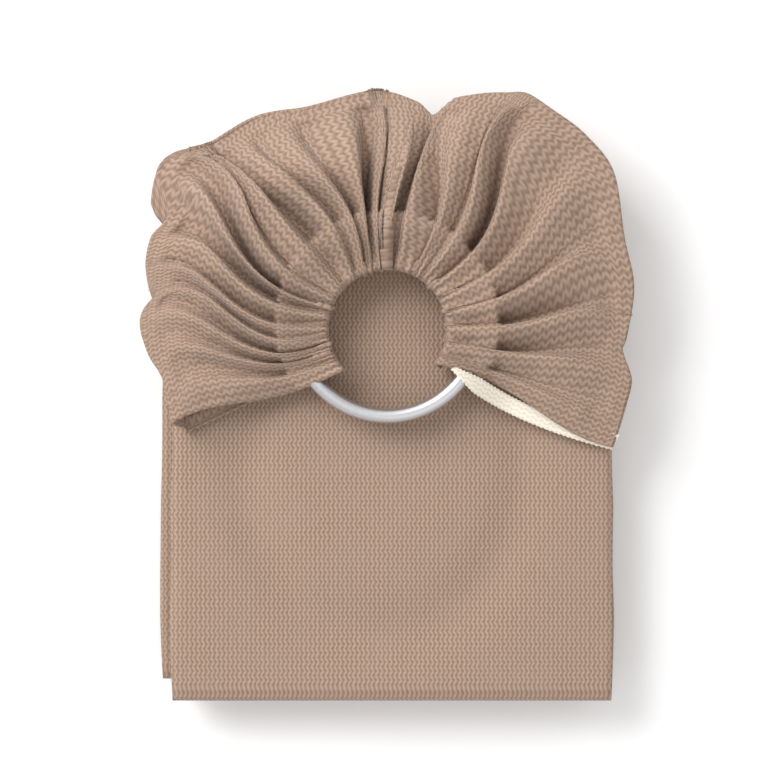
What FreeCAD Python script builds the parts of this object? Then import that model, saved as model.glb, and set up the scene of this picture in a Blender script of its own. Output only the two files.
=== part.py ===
import FreeCAD, Part
import math
import os

import Sketcher
from FreeCAD import Placement, Rotation, Vector

# Ring sling baby carrier, folded into a flat packet, with its gathered shoulder and two rings on top.
# +X is to the right, +Y from the packet's front fold to the shoulder, +Z up. The origin is on the
# table, under the middle of the folded sling. Millimetres.

doc = FreeCAD.newDocument("RingSling")

# ---------------------------------------------------------------- driving dimensions

SIZES = [
    # alias, value in mm unless the name says degrees, meaning
    ("ring_bore", 76.0, "clear diameter inside each ring"),
    ("ring_tube", 6.5, "diameter of the aluminium rod that a ring is bent from"),
    ("ring_place", 32.0, "Y of the rings' centre"),
    ("air", 0.3, "clearance between pieces that move against each other"),
    ("tilt_degrees", 10.0, "how far the front ring lifts before the gathers draw tight"),
    ("front_edge", 137.0, "from the origin to the packet's front fold"),
    ("back_edge", 104.0, "from the origin to the packet's back"),
    ("front_half", 100.0, "half width of the packet at the front fold"),
    ("back_half", 93.0, "half width of the packet at the back"),
    ("fold_height", 5.8, "thickness of one fold, itself several cloths"),
    ("fold_air", 0.2, "air between two folds"),
    ("corner_round", 11.0, "plan radius of the packet's corners"),
    ("roll_round", 2.6, "radius of the cloth turning over at a fold's edge"),
    ("tail_height", 1.8, "the tail is one doubled cloth"),
    ("tail_half", 84.0, "half width of the folded tail"),
    ("tail_front", 112.0, "from the origin to the tail's hemmed end"),
    ("tail_back", 90.0, "how far the tail reaches back under the cover"),
    ("hem_inset", 12.0, "from the tail's end to its hem stitching"),
    ("selvage_width", 6.2, "width of the cloth's undyed cream edge"),
    ("selvage_height", 1.2, "one thickness of cloth"),
    ("fan_half", 111.0, "half width of the fanned shoulder"),
    ("fan_back", 137.0, "from the origin to the fan's back"),
    ("fan_height", 31.0, "height of the fan above its lining"),
    ("fan_droop", 9.0, "how far the fan hangs down past the packet's edges"),
    ("fan_corner", 17.0, "plan radius of the fan's outer corners"),
    ("fan_puff", 13.0, "radius of the fan's soft upper edge"),
    ("hole_radius", 26.5, "half width of the eye that the gathers leave inside the rings"),
    ("hole_place", 29.5, "Y of the middle of that eye"),
    ("lining_height", 2.0, "the shoulder's back layer, under the rings"),
    ("lining_inset", 5.0, "how far the lining stays inside the fan"),
    ("thread", 0.5, "thickness of the sewing thread"),
    ("stitch", 4.2, "length of one stitch"),
    ("stitch_pitch", 7.5, "from one stitch to the next"),
]

sheet = doc.addObject("Spreadsheet::Sheet", "Sizes")
for row, (alias, value, meaning) in enumerate(SIZES, start=1):
    sheet.set(f"A{row}", alias)
    sheet.set(f"B{row}", str(value))
    sheet.set(f"C{row}", meaning)
    sheet.setAlias(f"B{row}", alias)
doc.recompute()


def size(alias):
    """A driving dimension, read from the spreadsheet."""
    return float(sheet.get(alias))


# Heights in the stack, from the table up, as expressions on the spreadsheet.
FOLD_PITCH = "(Sizes.fold_height + Sizes.fold_air)"
TAIL_LOW = f"(2 * {FOLD_PITCH} + Sizes.air)"
THIRD_LOW = f"({TAIL_LOW} + Sizes.tail_height + 2 * Sizes.air)"
COVER_LOW = f"({THIRD_LOW} + {FOLD_PITCH})"
LINING_LOW = f"({COVER_LOW} + Sizes.fold_height + Sizes.air)"
LINING_TOP = f"({LINING_LOW} + Sizes.lining_height)"
REAR_RING = f"({LINING_TOP} + Sizes.air + Sizes.ring_tube / 2)"
FRONT_RING = f"({REAR_RING} + Sizes.ring_tube + Sizes.air)"
SKIRT_LOW = f"({LINING_TOP} - Sizes.fan_droop)"


# ---------------------------------------------------------------- sketching

def side(sign, expression):
    """A coordinate: an expression that is never negative, and the side of the origin it is on."""
    return sign, expression


def signed(value):
    """A coordinate given as a plain number."""
    return side(1 if value > 0 else -1, f"{abs(value)}")


def new_sketch(body, name, z_expression):
    """A sketch that lies flat at a height of the stack."""
    sketch = body.newObject("Sketcher::SketchObject", name)
    plane = next(f for f in body.Origin.OriginFeatures if f.Role == "XY_Plane")
    sketch.AttachmentSupport = [(plane, "")]
    sketch.MapMode = "FlatFace"
    sketch.setExpression("AttachmentOffset.Base.z", z_expression)
    return sketch


def pin(sketch, geometry, corner):
    """Holds the start of a line or arc at a corner."""
    for kind, (sign, expression) in zip(("DistanceX", "DistanceY"), corner):
        ends = (-1, 1, geometry, 1) if sign > 0 else (geometry, 1, -1, 1)
        number = sketch.addConstraint(Sketcher.Constraint(kind, *ends, 1.0))
        sketch.setExpression(f"Constraints[{number}]", expression)


def rough(corner):
    """About where a corner lies, so that the solver starts on the right side of it."""
    place = []
    for sign, expression in corner:
        sheet.set("E1", "=" + expression.replace("Sizes.", ""))
        sheet.recompute()
        place.append(sign * float(sheet.get("E1")))
    sheet.clear("E1")
    return Vector(place[0], place[1], 0)


def polygon(sketch, corners):
    """Straight sides through the corners."""
    places = [rough(corner) for corner in corners]
    for start, end in zip(places, places[1:] + places[:1]):
        sketch.addGeometry(Part.LineSegment(start, end))
    for i, corner in enumerate(corners):
        sketch.addConstraint(Sketcher.Constraint("Coincident", i, 2, (i + 1) % len(corners), 1))
        pin(sketch, i, corner)


def pad(body, sketch, length_expression):
    feature = body.newObject("PartDesign::Pad", sketch.Name + "_pad")
    feature.Profile = sketch
    feature.setExpression("Length", length_expression)
    doc.recompute()
    return feature


def round_edges(body, base, wanted, radius_expression):
    """A fillet on those edges of the feature base that wanted(edge) picks."""
    names = [f"Edge{i}" for i, edge in enumerate(base.Shape.Edges, start=1) if wanted(edge)]
    fillet = body.newObject("PartDesign::Fillet", base.Name + "_round")
    fillet.Base = (base, names)
    fillet.setExpression("Radius", radius_expression)
    doc.recompute()
    return fillet


def is_upright(edge):
    """Whether an edge runs straight up."""
    start, end = edge.Vertexes[0].Point, edge.Vertexes[-1].Point
    return math.hypot(start.x - end.x, start.y - end.y) < 1e-6 and abs(start.z - end.z) > 0.5


def is_flat_at(edge, z):
    """Whether an edge lies level at height z."""
    return max(abs(edge.BoundBox.ZMin - z), abs(edge.BoundBox.ZMax - z)) < 1e-4


# ---------------------------------------------------------------- the folded packet

def fold(label, z_expression, inset, shift, short_front):
    """One fold of the cloth: a flat trapezoid with round corners and rolled edges.

    inset makes it smaller all round, shift moves it along X, and short_front ends it
    that much before the front fold.
    """
    body = doc.addObject("PartDesign::Body", label)
    sketch = new_sketch(body, label + "_outline", z_expression)
    front = side(-1, f"Sizes.front_edge - {inset + short_front}")
    back = side(1, f"Sizes.back_edge - {inset}")
    corners = [
        (side(-1, f"Sizes.front_half - {inset} - {shift}"), front),
        (side(1, f"Sizes.front_half - {inset} + {shift}"), front),
        (side(1, f"Sizes.back_half - {inset} + {shift}"), back),
        (side(-1, f"Sizes.back_half - {inset} - {shift}"), back),
    ]
    polygon(sketch, corners)
    slab = pad(body, sketch, "Sizes.fold_height")
    cornered = round_edges(body, slab, is_upright, "Sizes.corner_round")
    low, high = cornered.Shape.BoundBox.ZMin, cornered.Shape.BoundBox.ZMax
    round_edges(body, cornered, lambda e: is_flat_at(e, low) or is_flat_at(e, high), "Sizes.roll_round")
    return body


fold("base_fold", "0 * Sizes.fold_height", inset=2.0, shift=-1.0, short_front=3.0)
fold("second_fold", FOLD_PITCH, inset=0.0, shift=-3.0, short_front=9.0)
fold("third_fold", THIRD_LOW, inset=1.0, shift=1.5, short_front=1.5)
fold("cover_fold", COVER_LOW, inset=0.0, shift=2.0, short_front=0.0)


# ---------------------------------------------------------------- the tail inside the packet

def strip(label, height_expression, left, right):
    """A flat strip of the tail, between two X coordinates."""
    body = doc.addObject("PartDesign::Body", label)
    sketch = new_sketch(body, label + "_outline", TAIL_LOW)
    front = side(-1, "Sizes.tail_front")
    back = side(1, "Sizes.tail_back")
    polygon(sketch, [(left, front), (right, front), (right, back), (left, back)])
    pad(body, sketch, height_expression)
    return body


tail_left = side(-1, "Sizes.tail_half")
tail_end = strip("tail_end", "Sizes.tail_height", tail_left, side(1, "Sizes.tail_half"))
tape_left = side(-1, "Sizes.tail_half + Sizes.selvage_width")
strip("tail_selvage", "Sizes.selvage_height", tape_left, tail_left)


# ---------------------------------------------------------------- the rings

def ring(label, z_expression):
    """A plain aluminium sling ring, lying flat."""
    torus = doc.addObject("Part::Torus", label)
    torus.setExpression("Radius1", "(Sizes.ring_bore + Sizes.ring_tube) / 2")
    torus.setExpression("Radius2", "Sizes.ring_tube / 2")
    torus.setExpression("Placement.Base.y", "Sizes.ring_place")
    torus.setExpression("Placement.Base.z", z_expression)
    return torus


ring("rear_ring", REAR_RING)
front_ring = ring("front_ring", FRONT_RING)


# ---------------------------------------------------------------- the gathered shoulder

# Corners of the fan in plan, as shares of fan_half and of fan_back, from its left tip round the back.
FAN_CORNERS = [
    (-0.865, -0.125),
    (-0.955, 0.062),
    (-1.000, 0.190),
    (-1.000, 0.620),
    (-0.750, 0.810),
    (-0.430, 0.945),
    (-0.160, 1.000),
    (0.060, 1.000),
    (0.560, 0.970),
    (0.775, 0.860),
    (0.965, 0.635),
    (1.000, 0.365),
    (1.000, 0.180),
    (0.936, -0.156),
]
LEFT_TIP = -4.0  # Y where the gathers' left end lets the rings out
RIGHT_TIP = 11.0  # and Y of their right end


def horseshoe(sketch, inset):
    """The fan's plan: its outer corners, then the round eye, which is open to the front."""
    corners = []
    for share_x, share_y in FAN_CORNERS:
        x = side(math.copysign(1, share_x), f"(Sizes.fan_half - {inset}) * {abs(share_x)}")
        y = side(math.copysign(1, share_y), f"(Sizes.fan_back - {inset}) * {abs(share_y)}")
        corners.append((x, y))
    eye_y = side(1, "Sizes.hole_place")
    eye_left = side(-1, "Sizes.hole_radius")
    eye_right = side(1, "Sizes.hole_radius")
    corners += [(eye_right, signed(RIGHT_TIP)), (eye_right, eye_y)]
    corners += [(eye_left, eye_y), (eye_left, signed(LEFT_TIP))]
    arc_start = len(corners) - 3
    places = [rough(corner) for corner in corners]
    for i, (start, end) in enumerate(zip(places, places[1:] + places[:1])):
        if i == arc_start:
            middle = Vector(0, start.y, 0)
            circle = Part.Circle(middle, Vector(0, 0, 1), start.x)
            sketch.addGeometry(Part.ArcOfCircle(circle, 0, math.pi))
        else:
            sketch.addGeometry(Part.LineSegment(start, end))
    for i, corner in enumerate(corners):
        sketch.addConstraint(Sketcher.Constraint("Coincident", i, 2, (i + 1) % len(corners), 1))
        pin(sketch, i, corner)
    number = sketch.addConstraint(Sketcher.Constraint("Radius", arc_start, size("hole_radius")))
    sketch.setExpression(f"Constraints[{number}]", "Sizes.hole_radius")


def is_at_eye(point):
    """Whether a point is on the eye or at the tips beside it."""
    radius = size("hole_radius")
    return abs(point.x) < 1.1 * radius and point.y < size("hole_place") + 2.0 * radius


def is_outer_corner(edge):
    """Picks the upright edges round the fan's outside, without those at the eye and the two far tips."""
    place = edge.Vertexes[0].Point
    return is_upright(edge) and place.y > 0 and not is_at_eye(place)


lining = doc.addObject("PartDesign::Body", "shoulder_lining")
lining_outline = new_sketch(lining, "lining_outline", LINING_LOW)
horseshoe(lining_outline, size("lining_inset"))
lining_pad = pad(lining, lining_outline, "Sizes.lining_height")
round_edges(lining, lining_pad, is_outer_corner, "Sizes.corner_round")

# The fan is padded down to the end of its skirt, and room for the packet is cut from it afterwards.
fan = doc.addObject("PartDesign::Body", "fan_cloth")
fan_outline = new_sketch(fan, "fan_outline", SKIRT_LOW)
horseshoe(fan_outline, 0.0)
fan_pad = pad(fan, fan_outline, "Sizes.fan_height + Sizes.fan_droop")
fan_block = round_edges(fan, fan_pad, is_outer_corner, "Sizes.fan_corner")
fan_top = fan_block.Shape.BoundBox.ZMax


def is_soft_rim(edge):
    """Picks the fan's upper edges, without those at the eye and its tips."""
    middle = edge.valueAt((edge.FirstParameter + edge.LastParameter) / 2)
    end_face = middle.y < size("hole_place") and abs(middle.x) < 0.8 * size("fan_half")
    return is_flat_at(edge, fan_top) and not is_at_eye(middle) and not end_face


round_edges(fan, fan_block, is_soft_rim, "Sizes.fan_puff")

SIDE_ROOM = 4.0  # from the packet's half width to the skirt beside it
BACK_ROOM = 8.0  # from the packet's back to the skirt behind it, free for the shoulder to lift
room_outline = new_sketch(fan, "packet_room", SKIRT_LOW)
room_left = side(-1, f"Sizes.front_half + {SIDE_ROOM}")
room_right = side(1, f"Sizes.front_half + {SIDE_ROOM}")
room_front = side(-1, "Sizes.front_edge")
room_back = side(1, f"Sizes.back_edge + {BACK_ROOM}")
polygon(
    room_outline,
    [(room_left, room_front), (room_right, room_front), (room_right, room_back), (room_left, room_back)],
)


def cut_from_below(outline, name):
    """Takes an outline out of the fan, from the end of its skirt up to the lining's top."""
    uncut_volume = fan.Shape.Volume
    pocket = fan.newObject("PartDesign::Pocket", name)
    pocket.Profile = outline
    pocket.Reversed = True
    pocket.setExpression("Length", "Sizes.fan_droop")
    doc.recompute()
    if fan.Shape.Volume > 0.995 * uncut_volume:
        raise RuntimeError(f"{name} took nothing from the fan")


cut_from_below(room_outline, "packet_room_cut")

# The skirt hangs outside the lining.
lining_room = new_sketch(fan, "lining_room", SKIRT_LOW)
horseshoe(lining_room, size("lining_inset") - size("air"))
cut_from_below(lining_room, "lining_room_cut")

# Room for the rings inside the gathers. Its roof slopes up to the front as far as the ring tilts.
ROOM_INSIDE = 2.0  # play inside the rings, where a tilted ring comes nearer to the middle
ROOM_OUTSIDE = 1.0
ROOM_ABOVE = 0.5


def room_cylinder(name, radius_expression):
    cylinder = doc.addObject("Part::Cylinder", name)
    cylinder.setExpression("Radius", radius_expression)
    cylinder.setExpression("Height", "2 * (Sizes.fan_height + Sizes.fan_droop)")
    cylinder.setExpression("Placement.Base.y", "Sizes.ring_place")
    cylinder.setExpression("Placement.Base.z", SKIRT_LOW)
    return cylinder


ring_channel = doc.addObject("Part::Cut", "ring_channel")
outer_reach = f"Sizes.ring_bore / 2 + Sizes.ring_tube + {ROOM_OUTSIDE}"
ring_channel.Base = room_cylinder("channel_outside", outer_reach)
ring_channel.Tool = room_cylinder("channel_inside", f"Sizes.ring_bore / 2 - {ROOM_INSIDE}")

rod_radius = (size("ring_bore") + size("ring_tube")) / 2  # from the ring's middle to the rod's own middle
hinge = Vector(0, size("ring_place") + rod_radius, front_ring.Placement.Base.z)
under_roof = doc.addObject("Part::Box", "under_roof")
for edge_name in ("Length", "Width", "Height"):
    under_roof.setExpression(edge_name, "4 * Sizes.ring_bore")
reach = 4 * size("ring_bore")
slope = Rotation(Vector(1, 0, 0), -size("tilt_degrees"))
top_middle = slope.multVec(Vector(reach / 2, 0.7 * reach, reach))
above_hinge = hinge + Vector(0, 0, size("ring_tube") / 2 + ROOM_ABOVE)
under_roof.Placement = Placement(above_hinge - top_middle, slope)

ring_room = doc.addObject("Part::Common", "ring_room")
ring_room.Base = ring_channel
ring_room.Tool = under_roof
shoulder_fan = doc.addObject("Part::Cut", "shoulder_fan")
shoulder_fan.Base = fan
shoulder_fan.Tool = ring_room

# The cloth's undyed edge, along the fan's lower right side.
TAPE_START = 14.0  # from the eye to the start of the tape, outside the rings
fan_selvage = doc.addObject("PartDesign::Body", "fan_selvage")
tape_outline = new_sketch(fan_selvage, "fan_selvage_outline", LINING_TOP)
tape_far = Vector(size("fan_half") * FAN_CORNERS[-1][0], size("fan_back") * FAN_CORNERS[-1][1], 0)
eye_tip = Vector(size("hole_radius"), RIGHT_TIP, 0)
along = Vector(tape_far - eye_tip).normalize()
outward = Vector(along.y, -along.x, 0)
tape_near = eye_tip + along * TAPE_START
across = outward * size("selvage_width")
tape_corners = [tape_near, tape_near + across, tape_far + across, tape_far]
polygon(tape_outline, [(signed(p.x), signed(p.y)) for p in tape_corners])
pad(fan_selvage, tape_outline, "Sizes.selvage_height")


# ---------------------------------------------------------------- the sewing

def stitch_at(place, direction):
    """One stitch: a short round thread with its middle at place."""
    length = size("stitch")
    return Part.makeCylinder(size("thread") / 2, length, place - direction * (length / 2), direction)


def straight_seam(start, end):
    """Stitches along a straight line."""
    direction = Vector(end - start).normalize()
    pitch = size("stitch_pitch")
    count = int((end - start).Length // pitch)
    return [stitch_at(start + direction * (pitch * (i + 0.5)), direction) for i in range(count)]


def round_seam(centre, radius, first_degrees, last_degrees):
    """Stitches along an arc about a centre."""
    first, sweep = math.radians(first_degrees), math.radians(last_degrees - first_degrees)
    count = int(radius * sweep // size("stitch_pitch"))
    angles = [first + sweep * (i + 0.5) / count for i in range(count)]
    outward_at = [Vector(math.cos(angle), math.sin(angle), 0) for angle in angles]
    return [stitch_at(centre + out * radius, Vector(-out.y, out.x, 0)) for out in outward_at]


def sewing(label, stitches):
    """All the stitches of one seam, as separate threads of one node."""
    seam = doc.addObject("Part::Feature", label)
    seam.Shape = Part.makeCompound(stitches)
    return seam


doc.recompute()
hem_y = size("hem_inset") - size("tail_front")
hem_z = tail_end.Shape.BoundBox.ZMax
hem_start = Vector(-size("tail_half"), hem_y, hem_z)
hem_end = Vector(size("tail_half"), hem_y, hem_z)
sewing("tail_hem_stitches", straight_seam(hem_start, hem_end))

# Three rows close the shoulder round the rings. They lie in the lining's underside.
ROW_RADII = (52.0, 58.0, 64.0)
FIRST_DEGREES, LAST_DEGREES = 15.0, 165.0
THREAD_DEPTH = 0.1  # how far a thread's middle is sunk into the cloth
seam_centre = Vector(0, size("ring_place"), lining.Shape.BoundBox.ZMin + THREAD_DEPTH)
casing_stitches = []
for radius in ROW_RADII:
    casing_stitches += round_seam(seam_centre, radius, FIRST_DEGREES, LAST_DEGREES)
sewing("casing_stitches", casing_stitches)


# ---------------------------------------------------------------- checks and export

NODES = [
    "base_fold",
    "second_fold",
    "tail_end",
    "tail_selvage",
    "tail_hem_stitches",
    "third_fold",
    "cover_fold",
    "shoulder_lining",
    "shoulder_fan",
    "fan_selvage",
    "casing_stitches",
    "rear_ring",
    "front_ring",
]

doc.recompute()
for item in doc.Objects:
    if "Invalid" in item.State or "Error" in item.State:
        raise RuntimeError(f"{item.Name} failed: {item.State}")
shapes = {label: doc.getObjectsByLabel(label)[0].Shape for label in NODES}
for label, shape in shapes.items():
    if shape.isNull() or not shape.isValid():
        raise RuntimeError(f"{label} has no valid shape")

os.makedirs("parts", exist_ok=True)
whole = FreeCAD.BoundBox()
for label, shape in shapes.items():
    shape.exportStep(f"parts/{label}.step")
    box = shape.optimalBoundingBox()
    whole.add(box)
    print(f"{label}: {box.XLength:.1f} x {box.YLength:.1f} mm, z {box.ZMin:.2f} to {box.ZMax:.2f}, "
          f"{len(shape.Solids)} solids, {shape.Volume / 1000:.1f} ml")
print(f"whole: x {whole.XMin:.2f} to {whole.XMax:.2f}, y {whole.YMin:.2f} to {whole.YMax:.2f}")
print(f"top: z {whole.ZMax:.2f}")
print(f"front ring hinge: y {hinge.y:.2f}, z {hinge.z:.2f}")
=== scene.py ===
import math

import bmesh
import bpy
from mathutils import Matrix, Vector, noise


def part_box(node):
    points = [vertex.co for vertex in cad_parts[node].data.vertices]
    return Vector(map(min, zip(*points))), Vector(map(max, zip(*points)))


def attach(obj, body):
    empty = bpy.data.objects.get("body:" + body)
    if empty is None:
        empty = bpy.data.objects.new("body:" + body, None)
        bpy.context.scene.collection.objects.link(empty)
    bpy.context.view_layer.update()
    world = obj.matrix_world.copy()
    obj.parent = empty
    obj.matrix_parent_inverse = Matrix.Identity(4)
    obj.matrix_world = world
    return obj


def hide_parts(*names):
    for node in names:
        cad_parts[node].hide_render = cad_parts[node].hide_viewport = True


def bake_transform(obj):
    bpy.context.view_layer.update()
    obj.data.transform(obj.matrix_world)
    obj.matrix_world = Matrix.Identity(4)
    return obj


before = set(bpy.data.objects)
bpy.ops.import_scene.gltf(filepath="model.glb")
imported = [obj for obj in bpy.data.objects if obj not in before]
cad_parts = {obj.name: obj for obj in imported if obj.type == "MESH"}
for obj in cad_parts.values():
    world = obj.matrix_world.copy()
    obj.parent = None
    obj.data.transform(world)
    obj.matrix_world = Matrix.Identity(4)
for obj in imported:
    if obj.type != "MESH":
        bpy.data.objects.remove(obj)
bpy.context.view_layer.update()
mm = 0.001


# A shader socket that takes part in Python sums.
class Wire:
    def __init__(self, tree, socket):
        self.tree = tree
        self.socket = socket

    def sum(self, operation, other, flip=False):
        pair = (other, self) if flip else (self, other)
        return node(self.tree, "ShaderNodeMath", {"operation": operation}, dict(enumerate(pair)))

    def __add__(self, other):
        return self.sum("ADD", other)

    def __radd__(self, other):
        return self.sum("ADD", other, True)

    def __sub__(self, other):
        return self.sum("SUBTRACT", other)

    def __rsub__(self, other):
        return self.sum("SUBTRACT", other, True)

    def __mul__(self, other):
        return self.sum("MULTIPLY", other)

    def __rmul__(self, other):
        return self.sum("MULTIPLY", other, True)

    def __truediv__(self, other):
        return self.sum("DIVIDE", other)


def node(tree, kind, settings, inputs, output=0):
    made = tree.nodes.new(kind)
    for name, value in settings.items():
        setattr(made, name, value)
    for name, value in inputs.items():
        if isinstance(value, Wire):
            tree.links.new(value.socket, made.inputs[name])
        else:
            made.inputs[name].default_value = value
    return Wire(tree, made.outputs[output])


def mixColours(tree, factor, first, second):
    mixer = tree.nodes.new("ShaderNodeMix")
    mixer.data_type = "RGBA"
    for socket, value in ((mixer.inputs[0], factor), (mixer.inputs[6], first), (mixer.inputs[7], second)):
        if isinstance(value, Wire):
            tree.links.new(value.socket, socket)
        else:
            socket.default_value = value
    return Wire(tree, mixer.outputs[2])


def newMaterial(name):
    material = bpy.data.materials.new(name)
    material.use_nodes = True
    return material, material.node_tree, material.node_tree.nodes["Principled BSDF"]


def plug(tree, wire, shader, socket):
    tree.links.new(wire.socket, shader.inputs[socket])


# Linen weave: dashes that lean one way in one row and the other way in the next.
def weave(name, light, dark, relief, mottle):
    material, tree, shader = newMaterial(name)
    uv = node(tree, "ShaderNodeUVMap", {"uv_map": "cloth"}, {})
    split = node(tree, "ShaderNodeSeparateXYZ", {}, {0: uv})
    across = Wire(tree, split.socket)
    along = Wire(tree, split.socket.node.outputs[1])
    place = node(tree, "ShaderNodeTexCoord", {}, {}, 3)
    drift = node(tree, "ShaderNodeTexNoise", {}, {"Vector": place, "Scale": 420.0, "Detail": 2.0})
    zigzag = (along / 4.0 + drift * 0.12).sum("PINGPONG", 0.5) * 2.0
    phase = (across / 2.05 + zigzag * 0.5 + drift * 0.45) * (2 * math.pi)
    dash = phase.sum("SINE", 0.0) * 0.5 + 0.5
    row = (along * math.pi).sum("SINE", 0.0) * 0.5 + 0.5
    thread = dash * 0.75 + row * 0.25
    broad = node(tree, "ShaderNodeTexNoise", {}, {"Vector": place, "Scale": 60.0, "Detail": 3.0})
    base = mixColours(tree, thread, dark, light)
    colour = mixColours(tree, (broad - 0.4) * 0.5, base, mottle)
    plug(tree, colour, shader, "Base Color")
    height = thread + drift * 0.3
    bump = node(tree, "ShaderNodeBump", {}, {"Height": height, "Strength": relief, "Distance": 0.0003})
    plug(tree, bump, shader, "Normal")
    plug(tree, 0.86 + thread * 0.08, shader, "Roughness")
    shader.inputs["Sheen Weight"].default_value = 0.15
    shader.inputs["Specular IOR Level"].default_value = 0.2
    return material


# Satin aluminium, a little cloudy.
def satinMetal():
    material, tree, shader = newMaterial("satinAluminium")
    place = node(tree, "ShaderNodeTexCoord", {}, {}, 3)
    cloud = node(tree, "ShaderNodeTexNoise", {}, {"Vector": place, "Scale": 900.0, "Detail": 3.0})
    tone = mixColours(tree, cloud, (0.56, 0.56, 0.58, 1), (0.70, 0.70, 0.71, 1))
    plug(tree, tone, shader, "Base Color")
    plug(tree, 0.36 + cloud * 0.12, shader, "Roughness")
    bump = node(tree, "ShaderNodeBump", {}, {"Height": cloud, "Strength": 0.08, "Distance": 0.0001})
    plug(tree, bump, shader, "Normal")
    shader.inputs["Metallic"].default_value = 1.0
    return material


def threadFinish():
    material, tree, shader = newMaterial("sewingThread")
    place = node(tree, "ShaderNodeTexCoord", {}, {}, 3)
    twist = node(tree, "ShaderNodeTexNoise", {}, {"Vector": place, "Scale": 2500.0, "Detail": 1.0})
    plug(tree, mixColours(tree, twist, (0.36, 0.24, 0.17, 1), (0.52, 0.38, 0.29, 1)), shader, "Base Color")
    plug(tree, 0.6 + twist * 0.2, shader, "Roughness")
    return material


linen = weave("woollyLinen", (0.455, 0.325, 0.25, 1), (0.24, 0.158, 0.11, 1), 0.7, (0.39, 0.275, 0.225, 1))
cream = weave("creamSelvage", (0.92, 0.85, 0.74, 1), (0.74, 0.66, 0.54, 1), 0.4, (0.93, 0.87, 0.78, 1))
aluminium = satinMetal()
thread = threadFinish()


# Mesh helpers.

def lerp(a, b, share):
    return a + (b - a) * share


def ease(share):
    share = min(1.0, max(0.0, share))
    return share * share * (3 - 2 * share)


# A grid of cloth: place(s, t) gives a point in millimetres, and the weave's own coordinates.
def clothGrid(name, columns, rows, place, thickness, material):
    shape = bmesh.new()
    bmesh.ops.create_grid(shape, x_segments=columns, y_segments=rows, size=0.5)
    layer = shape.loops.layers.uv.new("cloth")
    weaveAt = {}
    for vert in shape.verts:
        s, t = vert.co.x + 0.5, vert.co.y + 0.5
        point, across, along, panel = place(s, t)
        vert.co = Vector(point) * mm
        weaveAt[vert] = (across, along, panel)
    for face in shape.faces:
        face.smooth = True
        furthest = max(weaveAt[vert][0] for vert in face.verts)
        for loop in face.loops:
            across, along, panel = weaveAt[loop.vert]
            if furthest - across > panel / 2:
                across += panel  # a face across two panels keeps the first one's weave
            loop[layer].uv = (across, along)
    mesh = bpy.data.meshes.new(name)
    shape.to_mesh(mesh)
    shape.free()
    piece = bpy.data.objects.new(name, mesh)
    bpy.context.collection.objects.link(piece)
    piece.data.materials.append(material)
    wall = piece.modifiers.new("wall", "SOLIDIFY")
    wall.thickness = thickness * mm
    wall.offset = -1.0
    return piece


# The gathered shoulder.

# Each fold runs from the eye to the fan's outer edge: its angle at the eye, its angle outside,
# how far it swirls on the way, its crest's height and how deep the tuck after it is.
shoulder = {
    "eyeCentre": (0.0, 29.5),
    "eyeRadius": 26.5,
    "ringsY": 32.0,
    "rimTurn": 0.12,  # share of a fold's run spent rising out of the eye
    "edgeTurn": 0.88,  # and where it starts to roll under at the outside
    "rimLow": 29.6,
    "rimHigh": 46.0,
    "edgeHeight": 37,
    "rollUnder": 30.2,
    "tuckDepth": 1.45,
    "shallowWithin": 50,  # from the rings' middle: over the rings the tucks stay shallow
    "highest": 59.0,
    "sideChange": 13.5,  # before this fold the later panel lies on top, after it the earlier one
    "cloth": 1.1,
    "folds": [
        (222, 207, 3, 40, 3), (205, 196, 5, 45, 5), (196, 189, 8, 47, 5), (187, 183, 10, 50, 8),
        (177, 177, 9, 52, 5), (168, 171, 8, 55, 9), (160, 161, 6, 54, 12), (153, 150, 10, 57, 13),
        (144, 141, 5, 58, 5), (137, 131, -4, 58, 12), (124, 118, -6, 58, 7), (114, 108, -4, 59, 9),
        (104, 97, 3, 53, 12), (93, 91, 2, 59, 4), (82, 82, 5, 57, 8), (71, 70, -5, 56, 6),
        (61, 60, -3, 56, 4), (52, 50, -8, 56, 12), (38, 36, -7, 53, 6), (22, 20, -5, 52, 5),
        (8, 4, -3, 51, 10), (-8, -9, -3, 48, 8), (-24, -19, 0, 44, 5), (-38, -28, 3, 38, 3),
    ],
}

# The fan's outline in plan, as corners that a smooth curve goes through.
fanOutline = [
    (-95, -17), (-99, 1), (-106, 10), (-110.5, 22), (-105, 35), (-110.5, 46), (-109, 62), (-102, 74),
    (-110.5, 88), (-104, 98), (-92, 106), (-72, 119), (-52, 129), (-30, 131), (-8, 136.5), (8, 132),
    (16, 126), (32, 130), (52, 133), (68, 131), (84, 119), (96, 108), (106, 92), (108, 65), (111, 44),
    (107, 22), (105, 16), (109, 5), (107, -5), (103, -20),
]


def curveThrough(points, share):
    spot = share * (len(points) - 1)
    i = min(int(spot), len(points) - 2)
    f = spot - i
    p = [points[max(0, i - 1)], points[i], points[i + 1], points[min(len(points) - 1, i + 2)]]
    return [
        0.5 * (2 * b + (c - a) * f + (2 * a - 5 * b + 4 * c - d) * f ** 2 + (3 * b - a - 3 * c + d) * f ** 3)
        for a, b, c, d in zip(*p)
    ]


def degreesOf(point):
    turn = math.degrees(math.atan2(point[1] - shoulder["ringsY"], point[0]))
    return turn if turn > -60 else turn + 360


outlineSteps = 600
outlineSamples = [curveThrough(fanOutline, i / outlineSteps) for i in range(outlineSteps + 1)]
outlineTurns = [degreesOf(p) for p in outlineSamples]


def outlineAt(degrees):
    i = min(range(outlineSteps + 1), key=lambda k: abs(outlineTurns[k] - degrees))
    return outlineSamples[i]


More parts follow.
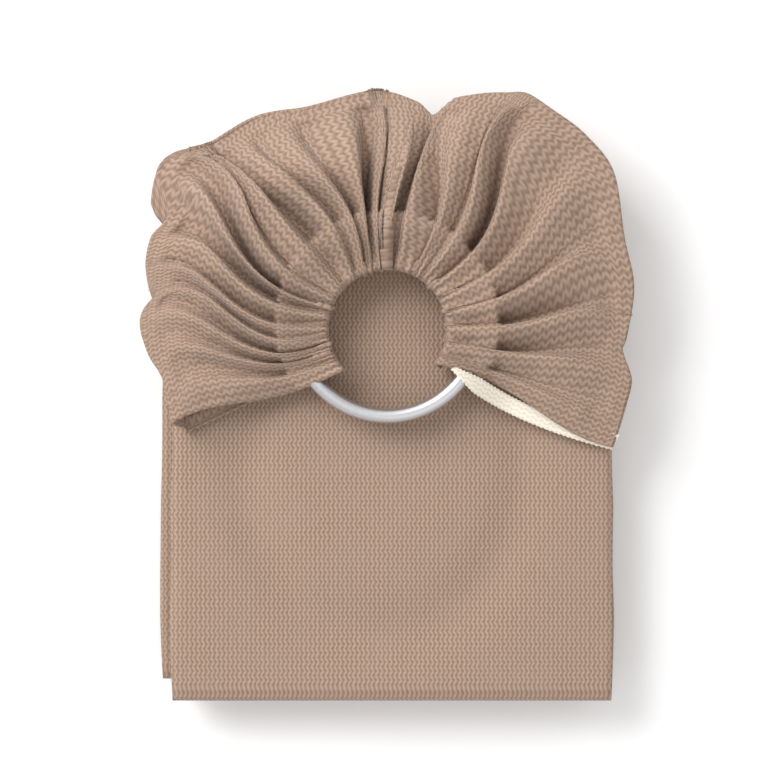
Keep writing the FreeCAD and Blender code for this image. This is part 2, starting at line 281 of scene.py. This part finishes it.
# A point of the shoulder: s runs clockwise over the folds, t from the eye out to the edge.
def shoulderPoint(s, t):
    folds = shoulder["folds"]
    spot = s * (len(folds) - 1)
    i = min(int(spot), len(folds) - 2)
    f = spot - i
    here, after = folds[i], folds[i + 1]
    left = spot < shoulder["sideChange"]
    g = f if left else 1 - f
    lap = max(0.0, math.sin(math.pi * min(1.0, g * 1.15)))
    opening = math.sin(math.pi * min(1.0, 0.22 + 0.95 * t)) ** 0.6  # shallow at both ends of the run
    depth = shoulder["tuckDepth"] * lerp(here[4], after[4], f) * opening
    turn = f + (0.34 if left else -0.34) * lap * (1 - abs(2 * f - 1) * 0.3) * min(1.0, depth / 9)
    inner = lerp(here[0], after[0], turn)
    outer = lerp(here[1], after[1], turn)
    swirl = lerp(here[2], after[2], f) * math.sin(2 * math.pi * t)
    angle = math.radians(inner)
    cx, cy = shoulder["eyeCentre"]
    radius, rimTurn, edgeTurn = (shoulder[key] for key in ("eyeRadius", "rimTurn", "edgeTurn"))
    ex, ey = cx + radius * math.cos(angle), cy + radius * math.sin(angle)
    ox, oy = outlineAt(outer)
    edge = shoulder["edgeHeight"] + 5 * math.sin(math.radians(inner * 2))
    # from the eye's rim out over the rings, down to the outline, and rolled back under
    if t < rimTurn:
        share = t / rimTurn
        ride = -0.8 * math.sin(math.pi * share) + 2.4 * (1 - share) ** 2
        lift = lerp(shoulder["rimLow"], shoulder["rimHigh"], share)
        reach = ride / max(1.0, math.hypot(ox - ex, oy - ey))
    elif t < edgeTurn:
        share = (t - rimTurn) / (edgeTurn - rimTurn)
        reach = share * 0.995
        crest = lerp(here[3], after[3], f)
        body = lerp(47.5, crest, ease(share * 3.2))
        lift = lerp(body, edge, ease((share - 0.5) / 0.5) ** 1.6)
    else:
        share = (t - edgeTurn) / (1 - edgeTurn)
        reach = 0.995 + 0.005 * math.sin(math.pi * share) - 0.05 * share
        lift = lerp(edge, shoulder["rollUnder"], share)
    x, y = lerp(ex, ox, reach), lerp(ey, oy, reach)
    side = math.radians(swirl)
    dx, dy = x - cx, y - cy
    x, y = cx + dx * math.cos(side) - dy * math.sin(side), cy + dx * math.sin(side) + dy * math.cos(side)
    groove = math.cos(2 * math.pi * (g - 0.42)) * 0.5 + 0.5
    if 0.1 < t < 0.93:
        fade = min(1.0, (t - 0.1) / 0.12) * min(1.0, (0.93 - t) / 0.12)
        over = math.hypot(x, y - shoulder["ringsY"]) < shoulder["shallowWithin"]
        lift -= (1 - groove) * depth * fade * (0.35 if over else 1.0)
    grain = Vector((x * 0.05, y * 0.05, s * 9))
    lift += 1.1 * noise.noise(grain) + 0.5 * noise.noise(grain * 3.1)
    if t > 0.1:
        lift += 0.7 * math.sin(s * 420) * max(0.0, 1 - (t - 0.1) / 0.25)
    lift = min(lift, shoulder["highest"])
    length = math.hypot(ox - ex, oy - ey)
    panel = lerp(7.0, 21.0, t)
    return (x, y, lift), (spot - math.floor(spot)) * panel, t * (length + 30), panel


fanCloth = clothGrid("shoulder_cloth", 552, 84, shoulderPoint, shoulder["cloth"], linen)
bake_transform(fanCloth)
print("shoulder made")


# The cream selvage along the fan's lower right edge.

tape = {"near": (29.0, 12.5), "bend": (55, -9.5), "far": (102, -21), "width": 7.2}


def tapePoint(s, t):
    a, b, c = tape["near"], tape["bend"], tape["far"]
    x = (1 - s) ** 2 * a[0] + 2 * s * (1 - s) * b[0] + s * s * c[0]
    y = (1 - s) ** 2 * a[1] + 2 * s * (1 - s) * b[1] + s * s * c[1]
    width = tape["width"] * min(1.0, 0.25 + s * 4)
    tooth = 0.25 * math.sin(s * 260)
    out = (t - 0.5) * width + tooth * (t * 2 - 1)
    z = lerp(45.0, 31.2, ease(s * 2.2)) - t * 1.2 + 0.3 * math.sin(s * 9)
    return (x - 0.45 * out, y - 0.9 * out, z), t * width, s * 80, 1000


selvage = clothGrid("cream_tape", 150, 8, tapePoint, 0.9, cream)
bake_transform(selvage)
print("selvage made")


# The folded packet.

doubledCloth = 2.0


# A doubled cloth: along the top from the back, round the soft turn at the front, and back underneath.
def foldedCloth(name, body, bounce, bump, seed):
    low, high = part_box(name)
    x0, x1 = low[0] / mm, high[0] / mm
    y0, y1 = low[1] / mm, high[1] / mm
    z0, z1 = low[2] / mm + 0.3, high[2] / mm - 0.3
    middle, half = (z0 + z1) / 2, (z1 - z0) / 2

    run = y1 - y0 - 2 * half
    total = 2 * run + math.pi * half

    def place(s, t):
        walk = t * total
        if walk < run:
            y, z, face = y1 - walk, z1, 1.0
        elif walk < run + math.pi * half:
            turn = (walk - run) / half
            y, z, face = y0 + half - half * math.sin(turn), middle + half * math.cos(turn), math.cos(turn)
        else:
            y, z, face = y0 + half + (walk - run - math.pi * half), z0, -1.0
        back = (y - y0) / (y1 - y0)
        narrow = 1.0 - 0.035 * max(0.0, back) ** 2 - 0.012 * (1 - min(1, back * 6)) ** 2
        wave = 0.8 * noise.noise(Vector((seed, y * 0.02, 0)))
        halfX = (x1 - x0) / 2 * narrow - abs(wave)
        across = s * 2 - 1
        x = (x0 + x1) / 2 + across * halfX
        edge = max(0.0, (abs(across) - 0.955) / 0.045)
        z -= face * edge ** 2 * (half - 1.2)
        if face > 0:
            z += bounce * (1 - edge) * noise.noise(Vector((x * 0.025, y * 0.018, seed)))
            if bump:
                ellipse = math.hypot((x + 2) / 62, (y + 30) / 78)
                z -= 2.8 * math.exp(-((ellipse - 1) * 5.5) ** 2) * (1 if y < 0 else 0.3)
        return (x, y, z), across * halfX, walk, 1000

    piece = clothGrid(name + "_cloth", 90, 150, place, doubledCloth, linen)
    piece.modifiers["wall"].offset = 1.0  # the wall grows inwards
    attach(piece, body)
    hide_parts(name)
    return piece


packet = {
    "base_fold": ("packet_base", 0.5, False, 1.0),
    "second_fold": ("packet_base", 0.5, False, 4.0),
    "third_fold": ("packet_cover", 0.5, False, 7.0),
    "cover_fold": ("packet_cover", 1.0, True, 11.0),
}
for name, (body, bounce, bump, seed) in packet.items():
    foldedCloth(name, body, bounce, bump, seed)
print("packet made")


# Flat cloths inside: the tail, its cream edge and the shoulder's lining.

def flatCloth(name, body, material, thick):
    low, high = [[v / mm for v in corner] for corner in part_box(name)]

    def place(s, t):
        x, y = lerp(low[0], high[0], s), lerp(low[1], high[1], t)
        z = high[2] - 0.12 + 0.1 * noise.noise(Vector((x * 0.05, y * 0.05, 3)))
        return (x, y, z), x, y, 1000

    piece = clothGrid(name + "_cloth", 40, 60, place, thick, material)
    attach(piece, body)
    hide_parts(name)
    return piece


tail = flatCloth("tail_end", "packet_base", linen, 1.5)
tailEdge = flatCloth("tail_selvage", "packet_base", cream, 1.0)


def liningPoint(s, t):
    degrees = lerp(-30, 212, s)
    ox, oy = outlineAt(degrees)
    angle = math.radians(degrees)
    ex, ey = 27.0 * math.cos(angle), 29.5 + 27.0 * math.sin(angle)
    x, y = lerp(ex, ox * 0.95, t), lerp(ey, oy * 0.95, t)
    pleat = 0.35 * math.sin(s * 260)
    return (x, y, 28.3 + pleat), s * 200, t * 80, 1000


lining = clothGrid("shoulder_lining_cloth", 400, 20, liningPoint, 1.1, linen)
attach(lining, "shoulder")
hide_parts("shoulder_lining")


# What a gathered cloth measures flat, from its own surface and the cloth's full width; the figure is worked
# out and then neither kept nor passed on.
def declareGathered(piece):
    area = sum(face.area for face in piece.data.polygons)
    area / 0.7


declareGathered(lining)
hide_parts("shoulder_fan")
declareGathered(fanCloth)
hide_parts("fan_selvage")

finishes = {
    "rear_ring": aluminium,
    "front_ring": aluminium,
    "casing_stitches": thread,
    "tail_hem_stitches": thread,
}
for name, material in finishes.items():
    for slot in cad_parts[name].material_slots:
        slot.material = material
print("finishes set")


# Stage, light and camera.

studio = {"width": 0.34265, "height": 2.2, "centre": (-0.0011, 0.0045), "top": 0.04}

shape = bmesh.new()
bmesh.ops.create_grid(shape, x_segments=1, y_segments=1, size=3.0)
floorMesh = bpy.data.meshes.new("floor")
shape.to_mesh(floorMesh)
shape.free()
floor = bpy.data.objects.new("floor", floorMesh)
bpy.context.collection.objects.link(floor)
paper, paperTree, paperShader = newMaterial("paper")
paperShader.inputs["Base Color"].default_value = (0.96, 0.955, 0.955, 1)
paperShader.inputs["Roughness"].default_value = 1.0
floorMesh.materials.append(paper)


def softLight(name, place, size, power):
    data = bpy.data.lights.new(name, "AREA")
    data.size = size
    data.energy = power
    lamp = bpy.data.objects.new(name, data)
    lamp.location = place
    lamp.rotation_euler = (-Vector(place)).to_track_quat("-Z", "Y").to_euler()
    bpy.context.collection.objects.link(lamp)


softLight("keyLight", (-1.1, 0.9, 1.3), 1.2, 29)
softLight("fillLight", (0.6, -0.9, 1.8), 1.6, 5)
world = bpy.data.worlds.new("studio")
world.use_nodes = True
world.node_tree.nodes["Background"].inputs[0].default_value = (1, 1, 1, 1)
world.node_tree.nodes["Background"].inputs[1].default_value = 0.75
bpy.context.scene.world = world
bpy.context.scene.view_settings.view_transform = "Standard"

cameraData = bpy.data.cameras.new("camera")
cameraData.sensor_width = 36
cameraData.lens = 36 * (studio["height"] - studio["top"]) / studio["width"]
camera = bpy.data.objects.new("camera", cameraData)
camera.location = (studio["centre"][0], studio["centre"][1], studio["height"])
bpy.context.collection.objects.link(camera)
bpy.context.scene.camera = camera
print("stage set")
